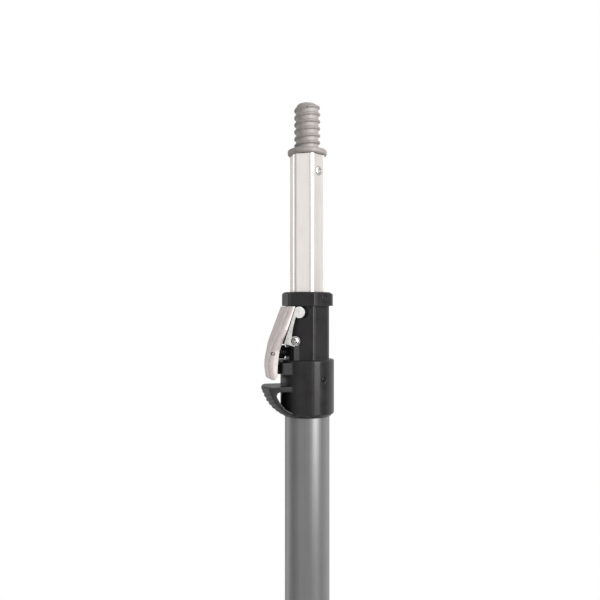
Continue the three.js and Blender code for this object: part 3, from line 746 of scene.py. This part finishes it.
def dress_kept_nodes():
    """CAD nodes that keep their shape get a small bevel and a material."""
    kept = [
        "tube_glide", "glide_rivet_near", "glide_rivet_far", "handle_rivet_near", "handle_rivet_far",
        "handle_pin", "shoe_rivet", "brake_shoe", "shoe_pad",
    ]
    for name in kept:
        obj = frame["nodes"][name]
        obj.data.materials.clear()
        obj.data.materials.append(finish_of(name))
        bevel = obj.modifiers.new("edge", "BEVEL")
        bevel.width = 0.12 * MM
        bevel.segments = 2
        bevel.angle_limit = math.radians(40)


# ---------------------------------------------------------------- stage, light and camera

def emitter(name, place, target, size, power):
    """A softbox at a place, aimed at a target."""
    light = bpy.data.lights.new(name, "AREA")
    light.shape = "RECTANGLE"
    light.size, light.size_y = size
    light.energy = power
    obj = bpy.data.objects.new(name, light)
    obj.location = place
    obj.rotation_euler = (Vector(target) - Vector(place)).to_track_quat("-Z", "Y").to_euler()
    bpy.context.scene.collection.objects.link(obj)


def around(azimuth, distance, height):
    """A place at an azimuth round the pole. 0 is in front, on the -Y side, and 90 is +X."""
    turn = math.radians(azimuth)
    return Vector((math.sin(turn) * distance, -math.cos(turn) * distance, height))


CAMERA_AZIMUTH = -15
EYE_HEIGHT = LOCK_Z + 75.5 * MM
EYE_DISTANCE = 0.461
SHIFT = (-0.012, 1 / 60)   # in picture widths


def make_stage():
    radius, edge, drop, thickness = 0.75, 0.03, 0.004, 0.02
    profile = [(0, 0), (radius - edge, 0), (radius, -drop), (radius, -thickness), (0, -thickness)]
    mesh = revolve("floor", profile, 128)
    floor = bpy.data.objects.new("floor", mesh)
    bpy.context.scene.collection.objects.link(floor)
    floor.location.z = -0.0002
    shader = Shader("floor_paint", roughness=0.7, specular=0.3)
    speckle = shader.noise(0.02)
    paler = shader.ramp(speckle, 0.4, 0.6, 0, 1)
    shader.colour(shader.blend(paler, (0.80, 0.80, 0.795), (0.83, 0.83, 0.825)))
    mesh.materials.append(shader.material)


# What the walls round the pole send back: (degrees clockwise from the camera, brightness).
SURROUNDINGS = [
    (-180, 0.6), (-150, 0.35), (-114, 1.8), (-85, 0.25), (-60, 0.4), (-30, 1.0), (-8, 0.35),
    (15, 0.25), (62, 0.06), (84, 0.12), (96, 0.85), (120, 1.2), (180, 0.6),
]


def make_world():
    """A white seamless backdrop behind the pole, and a dimmer studio in front of it."""
    world = bpy.data.worlds.new("studio")
    world.use_nodes = True
    nodes, links = world.node_tree.nodes, world.node_tree.links
    background = nodes["Background"]
    turned = nodes.new("ShaderNodeVectorRotate")
    turned.rotation_type = "Z_AXIS"
    turned.inputs["Angle"].default_value = math.radians(-CAMERA_AZIMUTH)
    links.new(nodes.new("ShaderNodeTexCoord").outputs["Generated"], turned.inputs["Vector"])
    parts = nodes.new("ShaderNodeSeparateXYZ")
    links.new(turned.outputs["Vector"], parts.inputs["Vector"])
    angle = nodes.new("ShaderNodeMath")
    angle.operation = "ARCTAN2"
    links.new(parts.outputs["X"], angle.inputs[0])
    towards = nodes.new("ShaderNodeMath")
    towards.operation = "MULTIPLY"
    towards.inputs[1].default_value = -1
    links.new(parts.outputs["Y"], towards.inputs[0])
    links.new(towards.outputs["Value"], angle.inputs[1])
    turn = nodes.new("ShaderNodeMapRange")
    turn.inputs["From Min"].default_value = -math.pi
    turn.inputs["From Max"].default_value = math.pi
    links.new(angle.outputs["Value"], turn.inputs["Value"])
    ramp = nodes.new("ShaderNodeValToRGB")
    ramp.color_ramp.interpolation = "EASE"
    stops = ramp.color_ramp.elements
    while len(stops) < len(SURROUNDINGS):
        stops.new(0.5)
    for stop, (degrees, value) in zip(stops, SURROUNDINGS):
        stop.position = (degrees + 180) / 360
        stop.color = (value, value, value, 1)
    links.new(turn.outputs["Result"], ramp.inputs["Fac"])
    seen = nodes.new("ShaderNodeLightPath")
    pick = nodes.new("ShaderNodeMix")
    pick.data_type = "RGBA"
    links.new(seen.outputs["Is Camera Ray"], pick.inputs["Factor"])
    links.new(ramp.outputs["Color"], pick.inputs[6])
    pick.inputs[7].default_value = (1, 1, 1, 1)
    links.new(pick.outputs[2], background.inputs["Color"])
    bpy.context.scene.world = world


def make_lights():
    lock = (0, 0, LOCK_Z + 60 * MM)
    place = around(28, distance=0.9, height=LOCK_Z + 0.34)
    emitter("softbox", place, lock, size=(0.36, 0.95), power=13.5)


def make_camera():
    camera = bpy.data.cameras.new("camera")
    camera.sensor_width = 36
    camera.lens = 38.4
    camera.shift_x, camera.shift_y = SHIFT
    obj = bpy.data.objects.new("camera", camera)
    obj.location = around(CAMERA_AZIMUTH, EYE_DISTANCE, EYE_HEIGHT)
    obj.rotation_euler = (math.radians(90), 0, math.radians(CAMERA_AZIMUTH))
    bpy.context.scene.collection.objects.link(obj)
    bpy.context.scene.camera = obj
    bpy.context.scene.view_settings.view_transform = "Standard"


make_outer_tube()
make_end_cap()
make_hex_tube()
make_threaded_tip()
make_fasteners()
make_lock()
make_lever()
make_spring()
dress_kept_nodes()
make_stage()
make_world()
make_lights()
make_camera()
